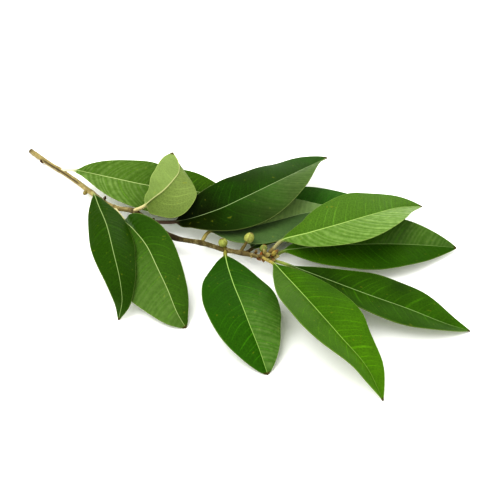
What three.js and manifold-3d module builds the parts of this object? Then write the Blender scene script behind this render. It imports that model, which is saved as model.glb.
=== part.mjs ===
// A cut branch of bay laurel (Laurus nobilis), lying on a table: a woody stem, twelve leathery
// leaves on short stalks, and the small buds that sit on the stem. Units are millimetres, +Z is
// up, and the branch rests on z = 0 with the origin under the middle of the space it takes up.
// The stem runs from its cut end at -X to its growing tip, where the last four leaves spread.
import * as THREE from "three";
import { mergeVertices } from "three/addons/utils/BufferGeometryUtils.js";
import Module from "manifold-3d";

const wasm = await Module();
wasm.setup();

// ---- Driving dimensions: the stem ---------------------------------------------------------

// The stem's centre line from the cut end to the growing tip. It bends a little at each joint
// that a leaf grows from.
const STEM_LINE = [
  [-111, 84, 2],
  [-98, 71, 3],
  [-93, 66, 4],
  [-83, 55, 6],
  [-74, 45, 7],
  [-61, 32, 8.5],
  [-51, 29, 9],
  [-42, 21, 9],
  [-30, 10, 9],
  [-16, 6, 9],
  [-4, 1, 9],
  [4, -1, 9],
  [13, -3.5, 9],
  [19, -4, 9],
];
const JOINTS = [2, 4, 5, 6, 7, 8, 9, 10, 11, 13];
const STEM_CUT_RADIUS = 1.4;
const STEM_TIP_RADIUS = 1.15;
const JOINT_SWELL = 0.4;
const JOINT_REACH = 2.5;
const STEM_STEPS = 56;
const STEM_SIDES = 10;
const BARK = { color: 0xb3a363, roughness: 0.7 };

// Leaf stalks and buds grow out of the stem, and meet it across this gap.
const GAP = 0.35;

// ---- Driving dimensions: the leaves -------------------------------------------------------

const STALK_RADIUS = 0.8;
const STALK_EDGE = 0.2;
const STALK_STEPS = 4;
const BLADE_THICKNESS = 0.4;
const BLADE_STEPS = 15;
const TIP_HALF_WIDTH = 0.35;
const BASE_SHARE = 0.08;
const MIDRIB_DEPTH = 0.7;
const MIDRIB_TAPER = 0.8;

const LEAF_ROUGHNESS = 0.4;

// Places across the blade, from its left margin through the midrib to its right margin.
const ACROSS = [-1, -0.6, -0.12, 0, 0.12, 0.6, 1];

// Each leaf grows from a joint of the stem, and its midrib runs from the blade's base to its
// tip. "width" is the blade's full width, "widest" the share of its length where it is widest,
// and "fullness" is lower for a blunter outline. Three values each hold at the base, the middle
// and the tip: "uneven" widens the right half and narrows the left one, looking from base to tip
// with the upper side up, "lift" raises both margins and "roll" tips the right one down, these
// two in degrees. "curl" bends each half from its midrib to its margin, and "faces" is the way
// that the upper side looks before it rolls. A leaf that has folded along its midrib follows its
// own "left" and "right" margin lines instead.
const UPWARD = [0, 0, 1];
const AWAY_AND_DOWN = [0, 1, -1];
const LEAVES = [
  {
    name: "leaf_1", foot: [-93, 66, 4], color: 0x4f8a35,
    midrib: [[-84, 60, 9], [-64, 52, 11], [-44, 47, 10], [-21, 48, 5], [1, 47, 0.3]],
    width: 33, widest: 0.5, fullness: 0.95, uneven: [0, 0, 0],
    lift: [30, -2, 12], roll: [10, 6, 24], curl: -15, faces: UPWARD,
  },
  {
    name: "leaf_2", foot: [-74, 45, 7], color: 0x1f4a06,
    midrib: [
      [-72, 41, 9], [-68, 28, 13], [-62, 9, 18], [-57, -11, 20], [-53, -26, 16], [-52, -33, 9],
      [-54, -37, 0.2],
    ],
    width: 22, widest: 0.5, fullness: 0.9, uneven: [-0.08, -0.08, -0.08],
    lift: [0, -18, 0], roll: [0, -5, -15], curl: -15, faces: UPWARD,
  },
  {
    name: "leaf_3", foot: [-61, 32, 8.5], color: 0x2f6a18,
    midrib: [
      [-55, 21, 10], [-49, 10, 14], [-42, -2, 15], [-36, -16, 14], [-31, -26, 10], [-26, -37, 5],
      [-22, -42, 0.3],
    ],
    width: 31, widest: 0.54, fullness: 0.78, uneven: [-0.45, 0.24, 0.1],
    lift: [28, -2, -2], roll: [61, 13, 12], curl: -15, faces: UPWARD,
  },
  {
    name: "leaf_4", foot: [-51, 29, 9], color: 0x8fa858,
    midrib: [
      [-45, 26.5, 14.5], [-40, 28.5, 18], [-35, 31.5, 20.5], [-30.5, 37.5, 22], [-28, 44, 22],
      [-29, 51.5, 22.5], [-32, 57.5, 23.5],
    ],
    left: [
      [-45, 26.5, 14.5], [-43, 23.5, 13.5], [-38, 20.5, 14], [-31.5, 18.5, 14.5],
      [-25.5, 19.5, 16], [-21, 23.5, 18.5], [-19, 29.5, 20], [-21.5, 37, 21.5],
      [-25, 45.5, 20], [-29, 53, 20], [-32, 57.5, 23.5],
    ],
    right: [
      [-45, 26.5, 14.5], [-44.5, 30.5, 17], [-43, 34.5, 18.5], [-41.5, 40.5, 21.5],
      [-38.5, 47.5, 23.5], [-35.5, 54, 24], [-32, 57.5, 23.5],
    ],
    roll: [0, 0, 0], faces: AWAY_AND_DOWN,
  },
  {
    name: "leaf_5", foot: [-42, 21, 9], color: 0x16330a,
    midrib: [[-29, 20.5, 9.5], [-9, 23.5, 14.5], [5, 28.5, 18.5], [26, 43.5, 18.5], [49, 68, 11]],
    width: 34, widest: 0.42, fullness: 0.92, uneven: [-0.07, 0.04, -0.6],
    lift: [38, -3, 30], roll: [25, 1, -20], curl: -15, faces: UPWARD,
  },
  {
    name: "leaf_6", foot: [-16, 6, 9], color: 0x3f5f38,
    midrib: [[-12, 13, 10], [2, 15, 10], [18, 19.5, 10], [35, 27, 9], [52, 34, 6]],
    width: 30, widest: 0.45, fullness: 1, uneven: [0, 0, 0],
    lift: [0, 5, 5], roll: [0, 0, 0], curl: -15, faces: UPWARD,
  },
  {
    name: "leaf_7", foot: [-4, 1, 9], color: 0x2e6e0a,
    midrib: [[-4, -3, 9], [0, -24, 12], [4, -38, 13], [8, -51, 12], [12, -60, 7], [16, -70, 0.3]],
    width: 35, widest: 0.5, fullness: 0.75, uneven: [0, 0, 0],
    lift: [-7, -1, 0], roll: [0, -7, 3], curl: -15, faces: UPWARD,
  },
  {
    name: "leaf_8", foot: [5, -1.3, 8.8], color: 0x12300a,
    midrib: [[9, 5, 6], [22, 28, 3], [35, 38, 2.4], [56, 42, 2], [73, 41, 0.35]],
    width: 30, widest: 0.45, fullness: 1, uneven: [0, 0, 0],
    lift: [5, 5, 5], roll: [0, 0, 0], curl: -15, faces: UPWARD,
  },
  {
    name: "leaf_9", foot: [17, -3.7, 9.6], color: 0x5c8f2e,
    midrib: [[23, 2, 14], [37, 2, 20], [52, 6.5, 21.5], [69, 15, 20], [83, 24, 16], [95, 29, 12]],
    width: 34, widest: 0.52, fullness: 1, uneven: [0, 0, 0],
    lift: [3, 7, 20], roll: [24, -3, -5], curl: -15, faces: UPWARD,
  },
  {
    name: "leaf_10", foot: [19.6, -3.8, 8.8], color: 0x1e5508,
    midrib: [[24, 0, 9], [47, 2, 11], [64, 4, 10], [82, 6, 8], [97, 8, 5], [111, 9.4, 2]],
    width: 31, widest: 0.5, fullness: 0.9, uneven: [0, 0, 0],
    lift: [-10, 5, 20], roll: [10, 12, 28], curl: -15, faces: UPWARD,
  },
  {
    name: "leaf_11", foot: [17.3, -4.6, 8.3], color: 0x1a4a08,
    midrib: [[26, -9, 9], [45, -21, 11], [64, -30, 10], [82, -36, 7], [100, -42, 3], [111, -44, 0.33]],
    width: 28, widest: 0.58, fullness: 1, uneven: [0, 0, 0],
    lift: [30, 9, 18], roll: [0, -5, -6], curl: -15, faces: UPWARD,
  },
  {
    name: "leaf_12", foot: [13.8, -3.9, 8.7], color: 0x2f7008,
    midrib: [[19, -9, 10], [26, -22, 13], [35, -39, 16], [48, -60, 16], [60, -73, 9], [67, -85, 0.3]],
    width: 34, widest: 0.5, fullness: 1, uneven: [0, 0, 0],
    lift: [12, 13, 20], roll: [-6, -15, -18], curl: -15, faces: UPWARD,
  },
];

// ---- Driving dimensions: the buds ---------------------------------------------------------

const BUD_SIDES = 10;
const BUD_RINGS = 8;
const BUD_STALK_RADIUS = 0.45;
const BUD_ROUGHNESS = 0.55;

// Each bud grows on the line from a point inside the stem to its own middle. "sharpness" is 1 for
// a round bud, and higher for one that is widest near its base and comes to a sharper tip.
const BUDS = [
  {
    name: "side_bud_1", from: [-104.5, 77.6, 2.5], middle: [-103.7, 75.6, 2.1],
    width: 2.2, length: 3, sharpness: 1.4, color: 0x3a2410,
  },
  {
    name: "side_bud_2", from: [-76, 47.2, 6.7], middle: [-77.2, 45.5, 6.4],
    width: 2.2, length: 3, sharpness: 1.4, color: 0xa08a3c,
  },
  {
    name: "side_bud_3", from: [-66.5, 37.5, 8], middle: [-66.1, 38.1, 9.6],
    width: 1.5, length: 2.2, sharpness: 1.4, color: 0x2a2210,
  },
  {
    name: "side_bud_4", from: [-42, 21, 8.8], middle: [-40.9, 22.7, 8.7],
    width: 1.7, length: 3, sharpness: 1.6, color: 0x4a2c14,
  },
  {
    name: "flower_bud_1", from: [-4, 1, 9], middle: [-5.2, 3, 12],
    width: 4.6, length: 4.6, sharpness: 1, color: 0xa3a650,
  },
  {
    name: "flower_bud_2", from: [3.2, -0.7, 9], middle: [7.7, 3.9, 14.7],
    width: 5, length: 5.6, sharpness: 1.1, color: 0xaab545,
  },
  {
    name: "flower_bud_3", from: [13, -3.5, 9], middle: [14.6, -0.6, 11.6],
    width: 3.7, length: 3.9, sharpness: 1, color: 0xb08a48,
  },
  {
    name: "tip_bud", from: [18.2, -4.2, 9.4], middle: [19.8, -4.9, 12.9],
    width: 2.1, length: 4.2, sharpness: 1.6, color: 0xb9a445,
  },
];

// ---- Shape helpers ------------------------------------------------------------------------

const LATHE_AXIS = new THREE.Vector3(0, 1, 0);
const vec = (p) => new THREE.Vector3(...p);
const radians = THREE.MathUtils.degToRad;
const { lerp, smoothstep } = THREE.MathUtils;

// The unit vector to the right of a direction, for someone whose up is "up".
function rightOf(along, up) {
  return new THREE.Vector3().crossVectors(along, up).normalize();
}

function middleOf(ring) {
  const sum = ring.reduce((total, p) => total.add(p), new THREE.Vector3());
  return sum.divideScalar(ring.length);
}

// A closed skin over rings that all have the same number of points, capped at both ends.
function skinOver(rings) {
  const count = rings[0].length;
  const last = (rings.length - 1) * count;
  const points = rings.flat();
  const start = points.push(middleOf(rings[0])) - 1;
  const end = points.push(middleOf(rings[rings.length - 1])) - 1;
  const faces = [];
  for (let k = 0; k < count; k++) {
    const next = (k + 1) % count;
    for (let row = 0; row < last; row += count) {
      faces.push(row + k, row + next, row + count + k);
      faces.push(row + next, row + count + next, row + count + k);
    }
    faces.push(start, next, k);
    faces.push(end, last + k, last + next);
  }
  const geometry = new THREE.BufferGeometry().setFromPoints(points);
  geometry.setIndex(faces);
  return geometry;
}

// A ring of points around a centre, from "up" towards "side", two unit vectors in its plane.
function ringAround(centre, up, side, radius, count) {
  return Array.from({ length: count }, (_, k) => {
    const turn = (2 * Math.PI * k) / count;
    return centre.clone()
      .addScaledVector(up, radius * Math.cos(turn))
      .addScaledVector(side, radius * Math.sin(turn));
  });
}

// ---- Stem ---------------------------------------------------------------------------------

// The stem's radius at a place on its centre line: it tapers to the tip and swells at each joint.
function stemRadius(centre, share) {
  const swells = JOINTS.map((joint) => {
    const away = centre.distanceTo(vec(STEM_LINE[joint])) / JOINT_REACH;
    return JOINT_SWELL * Math.exp(-away * away);
  });
  return lerp(STEM_CUT_RADIUS, STEM_TIP_RADIUS, share) + Math.max(...swells);
}

// The stem, with its skin moved out by "extra" to make room around it.
function stemGeometry(extra) {
  const curve = new THREE.CatmullRomCurve3(STEM_LINE.map(vec));
  const rings = [];
  for (let i = 0; i <= STEM_STEPS; i++) {
    const share = i / STEM_STEPS;
    const along = curve.getTangentAt(share);
    const centre = curve.getPointAt(share).addScaledVector(along, extra * (2 * share - 1));
    const side = rightOf(along, vec(UPWARD));
    const up = new THREE.Vector3().crossVectors(side, along);
    rings.push(ringAround(centre, up, side, stemRadius(centre, share) + extra, STEM_SIDES));
  }
  return skinOver(rings);
}

// ---- Leaves -------------------------------------------------------------------------------

// Half the blade's width at a share u of its length, for a blade one millimetre wide in all.
function outline(leaf, u) {
  const shift = Math.log(0.5) / Math.log(leaf.widest);
  return 0.5 * Math.sin(Math.PI * u ** shift) ** leaf.fullness;
}

// A value that is given at the base, the middle and the tip, at a share u of the blade's length.
function between([base, middle, tip], u) {
  return base * (1 - u) * (1 - 2 * u) + middle * 4 * u * (1 - u) + tip * u * (2 * u - 1);
}

// A place on the blade's middle surface: s is -1 at the left margin and 1 at the right one.
function bladePlace(leaf, centre, side, normal, u, s) {
  const flat = smoothstep(u, 0, BASE_SHARE);
  const leastHalf = lerp(STALK_RADIUS, TIP_HALF_WIDTH, flat);
  if (leaf.left) {
    const line = s < 0 ? leaf.left : leaf.right;
    const margin = new THREE.CatmullRomCurve3(line.map(vec)).getPointAt(u);
    return centre.clone()
      .addScaledVector(side, leastHalf * s)
      .addScaledVector(margin.sub(centre), flat * Math.abs(s));
  }
  const half = Math.max(leastHalf, leaf.width * outline(leaf, u));
  const bend = (leaf.curl * (Math.abs(s) - 1)) / 2;
  const lift = flat * radians(between(leaf.lift, u) + bend);
  const wider = flat * between(leaf.uneven, u) * Math.sign(s);
  const reach = half * Math.abs(s) * (1 + wider);
  return centre.clone()
    .addScaledVector(side, Math.sign(s) * reach * Math.cos(lift))
    .addScaledVector(normal, reach * Math.sin(lift));
}

// One ring of points around the leaf: over the upper side and back along the underside.
function leafRing(leaf, centre, along, u) {
  const level = rightOf(along, vec(leaf.faces));
  const side = level.applyAxisAngle(along, radians(between(leaf.roll, u)));
  const normal = new THREE.Vector3().crossVectors(side, along);
  const flat = smoothstep(u, 0, BASE_SHARE);
  const rib = flat * MIDRIB_DEPTH * (1 - MIDRIB_TAPER * u);
  const top = [];
  const under = [];
  for (const s of ACROSS) {
    const round = STALK_RADIUS * Math.max(STALK_EDGE, Math.sqrt(1 - s * s));
    const skin = lerp(round, BLADE_THICKNESS / 2, flat);
    const at = bladePlace(leaf, centre, side, normal, u, s);
    top.push(at.clone().addScaledVector(normal, skin));
    under.unshift(at.clone().addScaledVector(normal, -skin - (s === 0 ? rib : 0)));
  }
  return [...top, ...under];
}

// The stalk and the blade are one piece, on one smooth line from the stem to the tip.
function leafGeometry(leaf) {
  const foot = vec(leaf.foot);
  const base = vec(leaf.midrib[0]);
  const curve = new THREE.CatmullRomCurve3([foot, ...leaf.midrib.map(vec)]);
  const stalkShare = foot.distanceTo(base) / curve.getLength();
  const rings = [];
  for (let i = -STALK_STEPS; i <= BLADE_STEPS; i++) {
    const u = Math.max(0, i / BLADE_STEPS);
    const onStalk = Math.min(0, i / STALK_STEPS) * stalkShare;
    const share = stalkShare + onStalk + u * (1 - stalkShare);
    rings.push(leafRing(leaf, curve.getPointAt(share), curve.getTangentAt(share), u));
  }
  return skinOver(rings);
}

// ---- Buds ---------------------------------------------------------------------------------

// A bud on a short stalk that starts inside the stem, pointing away from where it grows.
function budGeometry(bud) {
  const middle = vec(bud.middle);
  const from = vec(bud.from);
  const away = middle.clone().sub(from);
  const stalk = away.length() - bud.length / 2;
  const profile = [
    new THREE.Vector2(0, 0),
    new THREE.Vector2(BUD_STALK_RADIUS, 0),
    new THREE.Vector2(BUD_STALK_RADIUS, stalk),
  ];
  for (let i = 1; i < BUD_RINGS; i++) {
    const share = i / BUD_RINGS;
    const round = Math.sqrt(1 - (1 - 2 * share ** (1 / bud.sharpness)) ** 2);
    const radius = (bud.width / 2) * round;
    profile.push(new THREE.Vector2(radius, stalk + bud.length * share));
  }
  profile.push(new THREE.Vector2(0, stalk + bud.length));
  const geometry = new THREE.LatheGeometry(profile, BUD_SIDES);
  const turn = new THREE.Quaternion().setFromUnitVectors(LATHE_AXIS, away.normalize());
  return geometry.applyQuaternion(turn).translate(...bud.from);
}

// ---- Solids -------------------------------------------------------------------------------

function solidOf(geometry) {
  geometry.deleteAttribute("normal");
  geometry.deleteAttribute("uv");
  const merged = mergeVertices(geometry, 1e-4);
  return new wasm.Manifold(new wasm.Mesh({
    numProp: 3,
    vertProperties: merged.attributes.position.array,
    triVerts: new Uint32Array(merged.index.array),
  }));
}

function geometryOf(solid) {
  const mesh = solid.getMesh();
  const geometry = new THREE.BufferGeometry();
  geometry.setAttribute("position", new THREE.BufferAttribute(mesh.vertProperties, mesh.numProp));
  geometry.setIndex(new THREE.BufferAttribute(mesh.triVerts, 1));
  return geometry;
}

// ---- The branch ---------------------------------------------------------------------------

const branch = new THREE.Group();

function add(name, geometry, color, roughness) {
  const material = new THREE.MeshStandardMaterial({ color, roughness, metalness: 0 });
  const mesh = new THREE.Mesh(geometry, material);
  mesh.name = name;
  branch.add(mesh);
}

// A leaf or a bud, cut back to leave the gap around the stem.
const stemRoom = solidOf(stemGeometry(GAP));
const clearOfStem = (geometry) => geometryOf(solidOf(geometry).subtract(stemRoom));

add("stem", stemGeometry(0), BARK.color, BARK.roughness);
for (const leaf of LEAVES) {
  add(leaf.name, clearOfStem(leafGeometry(leaf)), leaf.color, LEAF_ROUGHNESS);
}
for (const bud of BUDS) {
  add(bud.name, clearOfStem(budGeometry(bud)), bud.color, BUD_ROUGHNESS);
}

export default branch;
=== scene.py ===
"""A cut branch of bay laurel (Laurus nobilis) on a table, finished for close views.

The stem, its twelve leathery leaves and its eight small buds are built here as fine meshes, in
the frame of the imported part, and stand in for its plain solids. Lengths in the tables below are
millimetres, as they are measured on a real branch, and MM turns them to Blender's metres.
"""

from dataclasses import dataclass
from functools import partial

import bmesh
import bpy
import numpy as np
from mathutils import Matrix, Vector


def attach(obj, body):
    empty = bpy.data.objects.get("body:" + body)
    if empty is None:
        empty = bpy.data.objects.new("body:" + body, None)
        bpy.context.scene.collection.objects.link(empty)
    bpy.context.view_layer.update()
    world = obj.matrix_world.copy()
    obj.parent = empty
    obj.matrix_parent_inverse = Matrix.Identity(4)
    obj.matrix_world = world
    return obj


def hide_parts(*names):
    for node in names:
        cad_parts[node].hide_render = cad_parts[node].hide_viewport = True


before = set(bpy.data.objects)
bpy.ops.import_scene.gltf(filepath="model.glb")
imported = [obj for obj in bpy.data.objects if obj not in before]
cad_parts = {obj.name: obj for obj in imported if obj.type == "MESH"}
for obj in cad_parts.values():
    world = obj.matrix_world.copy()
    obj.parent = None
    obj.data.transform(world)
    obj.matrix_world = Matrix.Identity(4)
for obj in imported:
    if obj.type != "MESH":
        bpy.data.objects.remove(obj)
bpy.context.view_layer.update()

bl_info = {
    "name": "Bay laurel branch",
    "version": (1, 0, 0),
    "blender": (4, 5, 0),
    "location": "3D View > Sidebar > Laurel",
    "description": "Builds a cut bay laurel branch with its leaves, stem and buds",
    "category": "Add Mesh",
}

MM = 0.001
TURN = 2 * np.pi


def linear(hex_colour):
    """An sRGB colour such as "#477D2F", as the linear red, green and blue that shaders use."""
    channels = [int(hex_colour[i : i + 2], 16) / 255 for i in (1, 3, 5)]
    return [c / 12.92 if c <= 0.04045 else ((c + 0.055) / 1.055) ** 2.4 for c in channels]


# ---- The stem's line, and what sits on it ----

STEM_LINE = [
    (-111, 84, 2), (-98, 71, 3), (-93, 66, 4), (-83, 55, 6), (-74, 45, 7), (-61, 32, 8.5),
    (-51, 29, 9), (-42, 21, 9), (-30, 10, 9), (-16, 6, 9), (-4, 1, 9), (4, -1, 9),
    (13, -3.5, 9), (19, -4, 9),
]
JOINTS = [2, 4, 5, 6, 7, 8, 9, 10, 11, 13]
JOINT_SWELL = 0.24
JOINT_REACH = 2.5
STEM_ROWS = 620
STEM_SIDES = 40
STEM_SEED = 11

# Low ribs, and finer dimples on them: how high they are, how fast they change round the stem,
# how far they are drawn out along it, and their period.
STEM_RELIEF = [(0.035, 3.1, 9, 2.2), (0.02, 6, 1, 5)]

# Narrow rings left by the scales of an old bud: where the middle of the group is, how far it
# reaches either way, and how far apart and how high the rings are.
SCALE_SCARS_AT = (-29, 9.4, 9)
SCALE_SCARS_REACH = 4.6
SCALE_SCARS_APART = 1.15
SCALE_SCARS_HEIGHT = 0.16

# Creases that run along the stem below a leaf: from, to, and how far round from the top, in
# degrees towards the leaves that hang to the front. They fade in and out over a few rows.
CREASES = [
    ((-103, 76, 3), (-80, 52, 6), 48),
    ((-72, 43, 7), (-64, 35, 8), -40),
    ((-50, 28, 9), (-44, 23, 9), 55),
]
CREASE_DEPTH = 0.2
CREASE_WIDTH = 22
CREASE_FADE_OUTSIDE = 6
CREASE_FADE_INSIDE = 10

# The dark line round the stem where a leaf or its bud joins it.
LEAF_SCAR_WIDTH = 0.7
LEAF_SCAR_DARK = 0.55

# The cut end: rings on its face, as shares of its radius, and the bark that has dried near it.
CUT_FACE_RINGS = [0.15, 0.4, 0.62, 0.8, 0.93]
CUT_BARK_DARK = 0.7
CUT_BARK_REACH = 2.2

LENTICELS = 70
LENTICEL_RADIUS = 0.28
LENTICEL_STRETCH = 1.5
LENTICEL_HEIGHT = 0.07
LENTICEL_DARK = 0.3

# ---- The leaves ----

STALK_RADIUS = 0.8
STALK_START = 0.5
STALK_ROWS = 26
STALK_SWELL = 0.3
STALK_SWELL_REACH = 2.2
EDGE_BEYOND = 0.8
BLADE_ROWS = 150
HALF_COLUMNS = 33
COLUMN_CROWDING = 0.45
TIP_HALF_WIDTH = 0.35
TIP_END = 0.995
BASE_SHARE = 0.08
LEAF_SEED = 100

# The midrib: a keel below and a fine ridge above, in a fold. A taper is the share of the depth
# or the height that is lost on the way to the tip, and "narrows" is how much width is.
KEEL_DEPTH = 0.7
KEEL_TAPER = 0.8
KEEL_HALF = 0.5
KEEL_NARROWS = 0.55
RIDGE_HEIGHT = 0.16
RIDGE_TAPER = 0.7
RIDGE_HALF = 0.32
RIDGE_NARROWS = 0.12
MIDRIB_HALF = 0.3
MIDRIB_NARROWS = 0.5
FOLD_DEPTH = 0.2
FOLD_HALF = 1.1
FOLD_TAPER = 0.5

# The side veins slant and bend towards the tip. Each pair below is how far they stray from
# even spacing, as a share of it, and how often.
VEIN_SLANT = 0.4
VEIN_BEND = 0.45
VEIN_STRAYING = [(0.16, 2.3), (0.07, 5.1)]

# How far each half of the blade bends down on its way to the margin, in degrees.
BLADE_CURL = 15

# The waves of each margin along the leaf, at least and at most, how high they are and how
# close to the margin they stay. The blade also swells a little, in patches of about this size.
MARGIN_WAVES = (2.2, 3.6)
MARGIN_RISE = 0.35
MARGIN_BIAS = 2.2
SWELLING = 0.12
SWELLING_SIZE = 22

# The relief fades where the blade comes this near to the table.
TABLE_FADE = 2.5

UPWARD = (0, 0, 1)
AWAY_AND_DOWN = (0, 1, -1)


@dataclass(frozen=True)
class Leaf:
    """A leaf's place, pose and colours, in millimetres and degrees.

    It grows from a joint of the stem at "foot", and "midrib" runs from the blade's base to its
    tip. "width" is the blade's greatest width, "widest" is the share of its length where it has
    that width, and "fullness" is lower for a blunter outline. At the base, the middle and the
    tip, "uneven" widens the right half and narrows the left one, "lift" raises both margins and
    "roll" tips the right one down. "faces" is the way that the upper side looks before it
    rolls, and "crinkle" is how much the cells between the veins stand up, against the other
    leaves. A leaf that has folded along its midrib follows its own "left" and "right" margin
    lines instead.

    "deep" and "fresh" are the two greens of its upper side, and "rib" and "stalk" its midrib
    and stalk. "painted_sheen_halves" is how much of a pale painted sheen, a painted highlight in
    place of glare, covers the left half and the right half, "painted_sheen_share" how strong it
    is at the base and at the tip, against those two, and "streaks" how much it is broken into
    streaks and spots. "veins" is how clearly the side veins show, against the other leaves, and
    "dried" how far the tip has dried.
    """

    name: str
    foot: tuple
    midrib: tuple
    width: float
    deep: str
    fresh: str
    rib: str
    stalk: str
    widest: float = 0.5
    fullness: float = 1
    uneven: tuple = (0, 0, 0)
    lift: tuple = (0, 0, 0)
    roll: tuple = (0, 0, 0)
    crinkle: float = 1
    painted_sheen_halves: tuple = (0, 0)
    painted_sheen_share: tuple = (1, 1)
    streaks: float = 0.3
    veins: float = 1
    dried: float = 2.8
    faces: tuple = UPWARD
    left: tuple = ()
    right: tuple = ()


LEAVES = [
    Leaf(
        "leaf_1", (-93, 66, 4),
        ((-84, 60, 9), (-64, 52, 11), (-44, 47, 10), (-21, 48, 5), (1, 47, 0.3)),
        width=33, fullness=0.95, lift=(30, -2, 12), roll=(10, 6, 24), crinkle=1.5,
        deep="#375206", fresh="#3A5807", rib="#A7B27D", stalk="#C2BCA3",
        painted_sheen_halves=(0.2, 0.32), painted_sheen_share=(1, 0), streaks=0.5,
    ),
    Leaf(
        "leaf_2", (-74, 45, 7),
        (
            (-72, 41, 9), (-68, 28, 13), (-62, 9, 18), (-57, -11, 20), (-53, -26, 16),
            (-52, -33, 9), (-54, -37, 0.2),
        ),
        width=22, fullness=0.9, uneven=(-0.08, -0.08, -0.08), lift=(0, -18, 0), roll=(0, -5, -15),
        deep="#284202", fresh="#284602", rib="#869663", stalk="#98945E",
        veins=0.6, dried=1.8,
    ),
    Leaf(
        "leaf_3", (-61, 32, 8.5),
        (
            (-55, 21, 10), (-49, 10, 14), (-42, -2, 15), (-36, -16, 14), (-31, -26, 10),
            (-26, -37, 5), (-22, -42, 0.3),
        ),
        width=31, widest=0.54, fullness=0.78, uneven=(-0.45, 0.24, 0.1), lift=(28, -2, -2),
        roll=(61, 13, 12), crinkle=1.6,
        deep="#244403", fresh="#365407", rib="#9AA673", stalk="#BBB48D",
        painted_sheen_halves=(0.04, 0.22), painted_sheen_share=(0.3, 1), streaks=0.25, dried=1.6,
    ),
    Leaf(
        "leaf_4", (-51, 29, 9),
        (
            (-45, 26.5, 14.5), (-40, 28.5, 18), (-35, 31.5, 20.5), (-30.5, 37.5, 22),
            (-28, 44, 22), (-29, 51.5, 22.5), (-32, 57.5, 23.5),
        ),
        left=(
            (-45, 26.5, 14.5), (-43, 23.5, 13.5), (-38, 20.5, 14), (-31.5, 18.5, 14.5),
            (-25.5, 19.5, 16), (-21, 23.5, 18.5), (-19, 29.5, 20), (-21.5, 37, 21.5),
            (-25, 45.5, 20), (-29, 53, 20), (-32, 57.5, 23.5),
        ),
        right=(
            (-45, 26.5, 14.5), (-44.5, 30.5, 17), (-43, 34.5, 18.5), (-41.5, 40.5, 21.5),
            (-38.5, 47.5, 23.5), (-35.5, 54, 24), (-32, 57.5, 23.5),
        ),
        width=26, faces=AWAY_AND_DOWN,
        deep="#33670E", fresh="#468016", rib="#C4C294", stalk="#BBB084",
        painted_sheen_halves=(0, 0.24), streaks=0.2,
    ),
    Leaf(
        "leaf_5", (-42, 21, 9),
        ((-29, 20.5, 9.5), (-9, 23.5, 14.5), (5, 28.5, 18.5), (26, 43.5, 18.5), (49, 68, 11)),
        width=34, widest=0.42, fullness=0.92, uneven=(-0.07, 0.04, -0.6), lift=(38, -3, 30),
        roll=(25, 1, -20), crinkle=0.6,
        deep="#150D01", fresh="#244E02", rib="#85946B", stalk="#604F42",
        painted_sheen_halves=(0.05, 0.25), painted_sheen_share=(0, 1), streaks=0.25, veins=0.6, dried=3.2,
    ),
    Leaf(
        "leaf_6", (-16, 6, 9),
        ((-12, 13, 10), (2, 15, 10), (18, 19.5, 10), (35, 27, 9), (52, 34, 6)),
        width=30, widest=0.45, lift=(0, 5, 5), crinkle=0.8,
        deep="#2F4428", fresh="#405A30", rib="#87986C", stalk="#8F8450",
        painted_sheen_halves=(1, 0.16), painted_sheen_share=(1, 0.45), streaks=0.15, veins=0.4,
    ),
    Leaf(
        "leaf_7", (-4, 1, 9),
        ((-4, -3, 9), (0, -24, 12), (4, -38, 13), (8, -51, 12), (12, -60, 7), (16, -70, 0.3)),
        width=35, fullness=0.75, lift=(-7, -1, 0), roll=(0, -7, 3),
        deep="#224401", fresh="#2E5801", rib="#93AC62", stalk="#7D7939",
        painted_sheen_halves=(0.26, 0), painted_sheen_share=(0, 1), streaks=0.4, dried=1.7,
    ),
    Leaf(
        "leaf_8", (5, -1.3, 8.8),
        ((9, 5, 6), (22, 28, 3), (35, 38, 2.4), (56, 42, 2), (73, 41, 0.35)),
        width=30, widest=0.45, lift=(5, 5, 5),
        deep="#2A5604", fresh="#225206", rib="#7B945E", stalk="#514225",
        painted_sheen_halves=(0.08, 0.08),
    ),
    Leaf(
        "leaf_9", (17, -3.7, 9.6),
        ((23, 2, 14), (37, 2, 20), (52, 6.5, 21.5), (69, 15, 20), (83, 24, 16), (95, 29, 12)),
        width=34, widest=0.52, lift=(3, 7, 20), roll=(24, -3, -5), crinkle=2.6,
        deep="#425F14", fresh="#4B6A24", rib="#9EB36A", stalk="#8C8862",
        painted_sheen_halves=(0, 0.52), painted_sheen_share=(0.5, 1), streaks=0.6, veins=0.5,
    ),
    Leaf(
        "leaf_10", (19.6, -3.8, 8.8),
        ((24, 0, 9), (47, 2, 11), (64, 4, 10), (82, 6, 8), (97, 8, 5), (111, 9.4, 2)),
        width=31, fullness=0.9, lift=(-10, 5, 20), roll=(10, 12, 28), crinkle=1.5,
        deep="#406301", fresh="#1C4000", rib="#819661", stalk="#727D40",
        painted_sheen_halves=(0.2, 0), painted_sheen_share=(0, 1), streaks=0.4, veins=0.8, dried=2.2,
    ),
    Leaf(
        "leaf_11", (17.3, -4.6, 8.3),
        ((26, -9, 9), (45, -21, 11), (64, -30, 10), (82, -36, 7), (100, -42, 3), (111, -44, 0.33)),
        width=28, widest=0.58, lift=(30, 9, 18), roll=(0, -5, -6),
        deep="#060F01", fresh="#3D6401", rib="#91A373", stalk="#808B48",
        dried=2.2,
    ),
    Leaf(
        "leaf_12", (13.8, -3.9, 8.7),
        ((19, -9, 10), (26, -22, 13), (35, -39, 16), (48, -60, 16), (60, -73, 9), (67, -85, 0.3)),
        width=34, lift=(12, 13, 20), roll=(-6, -15, -18),
        deep="#234002", fresh="#4B7201", rib="#9CB466", stalk="#988B4F",
        painted_sheen_halves=(0, 0.1), painted_sheen_share=(1, 0), veins=0.8, dried=2.2,
    ),
]

# ---- The buds ----

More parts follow.
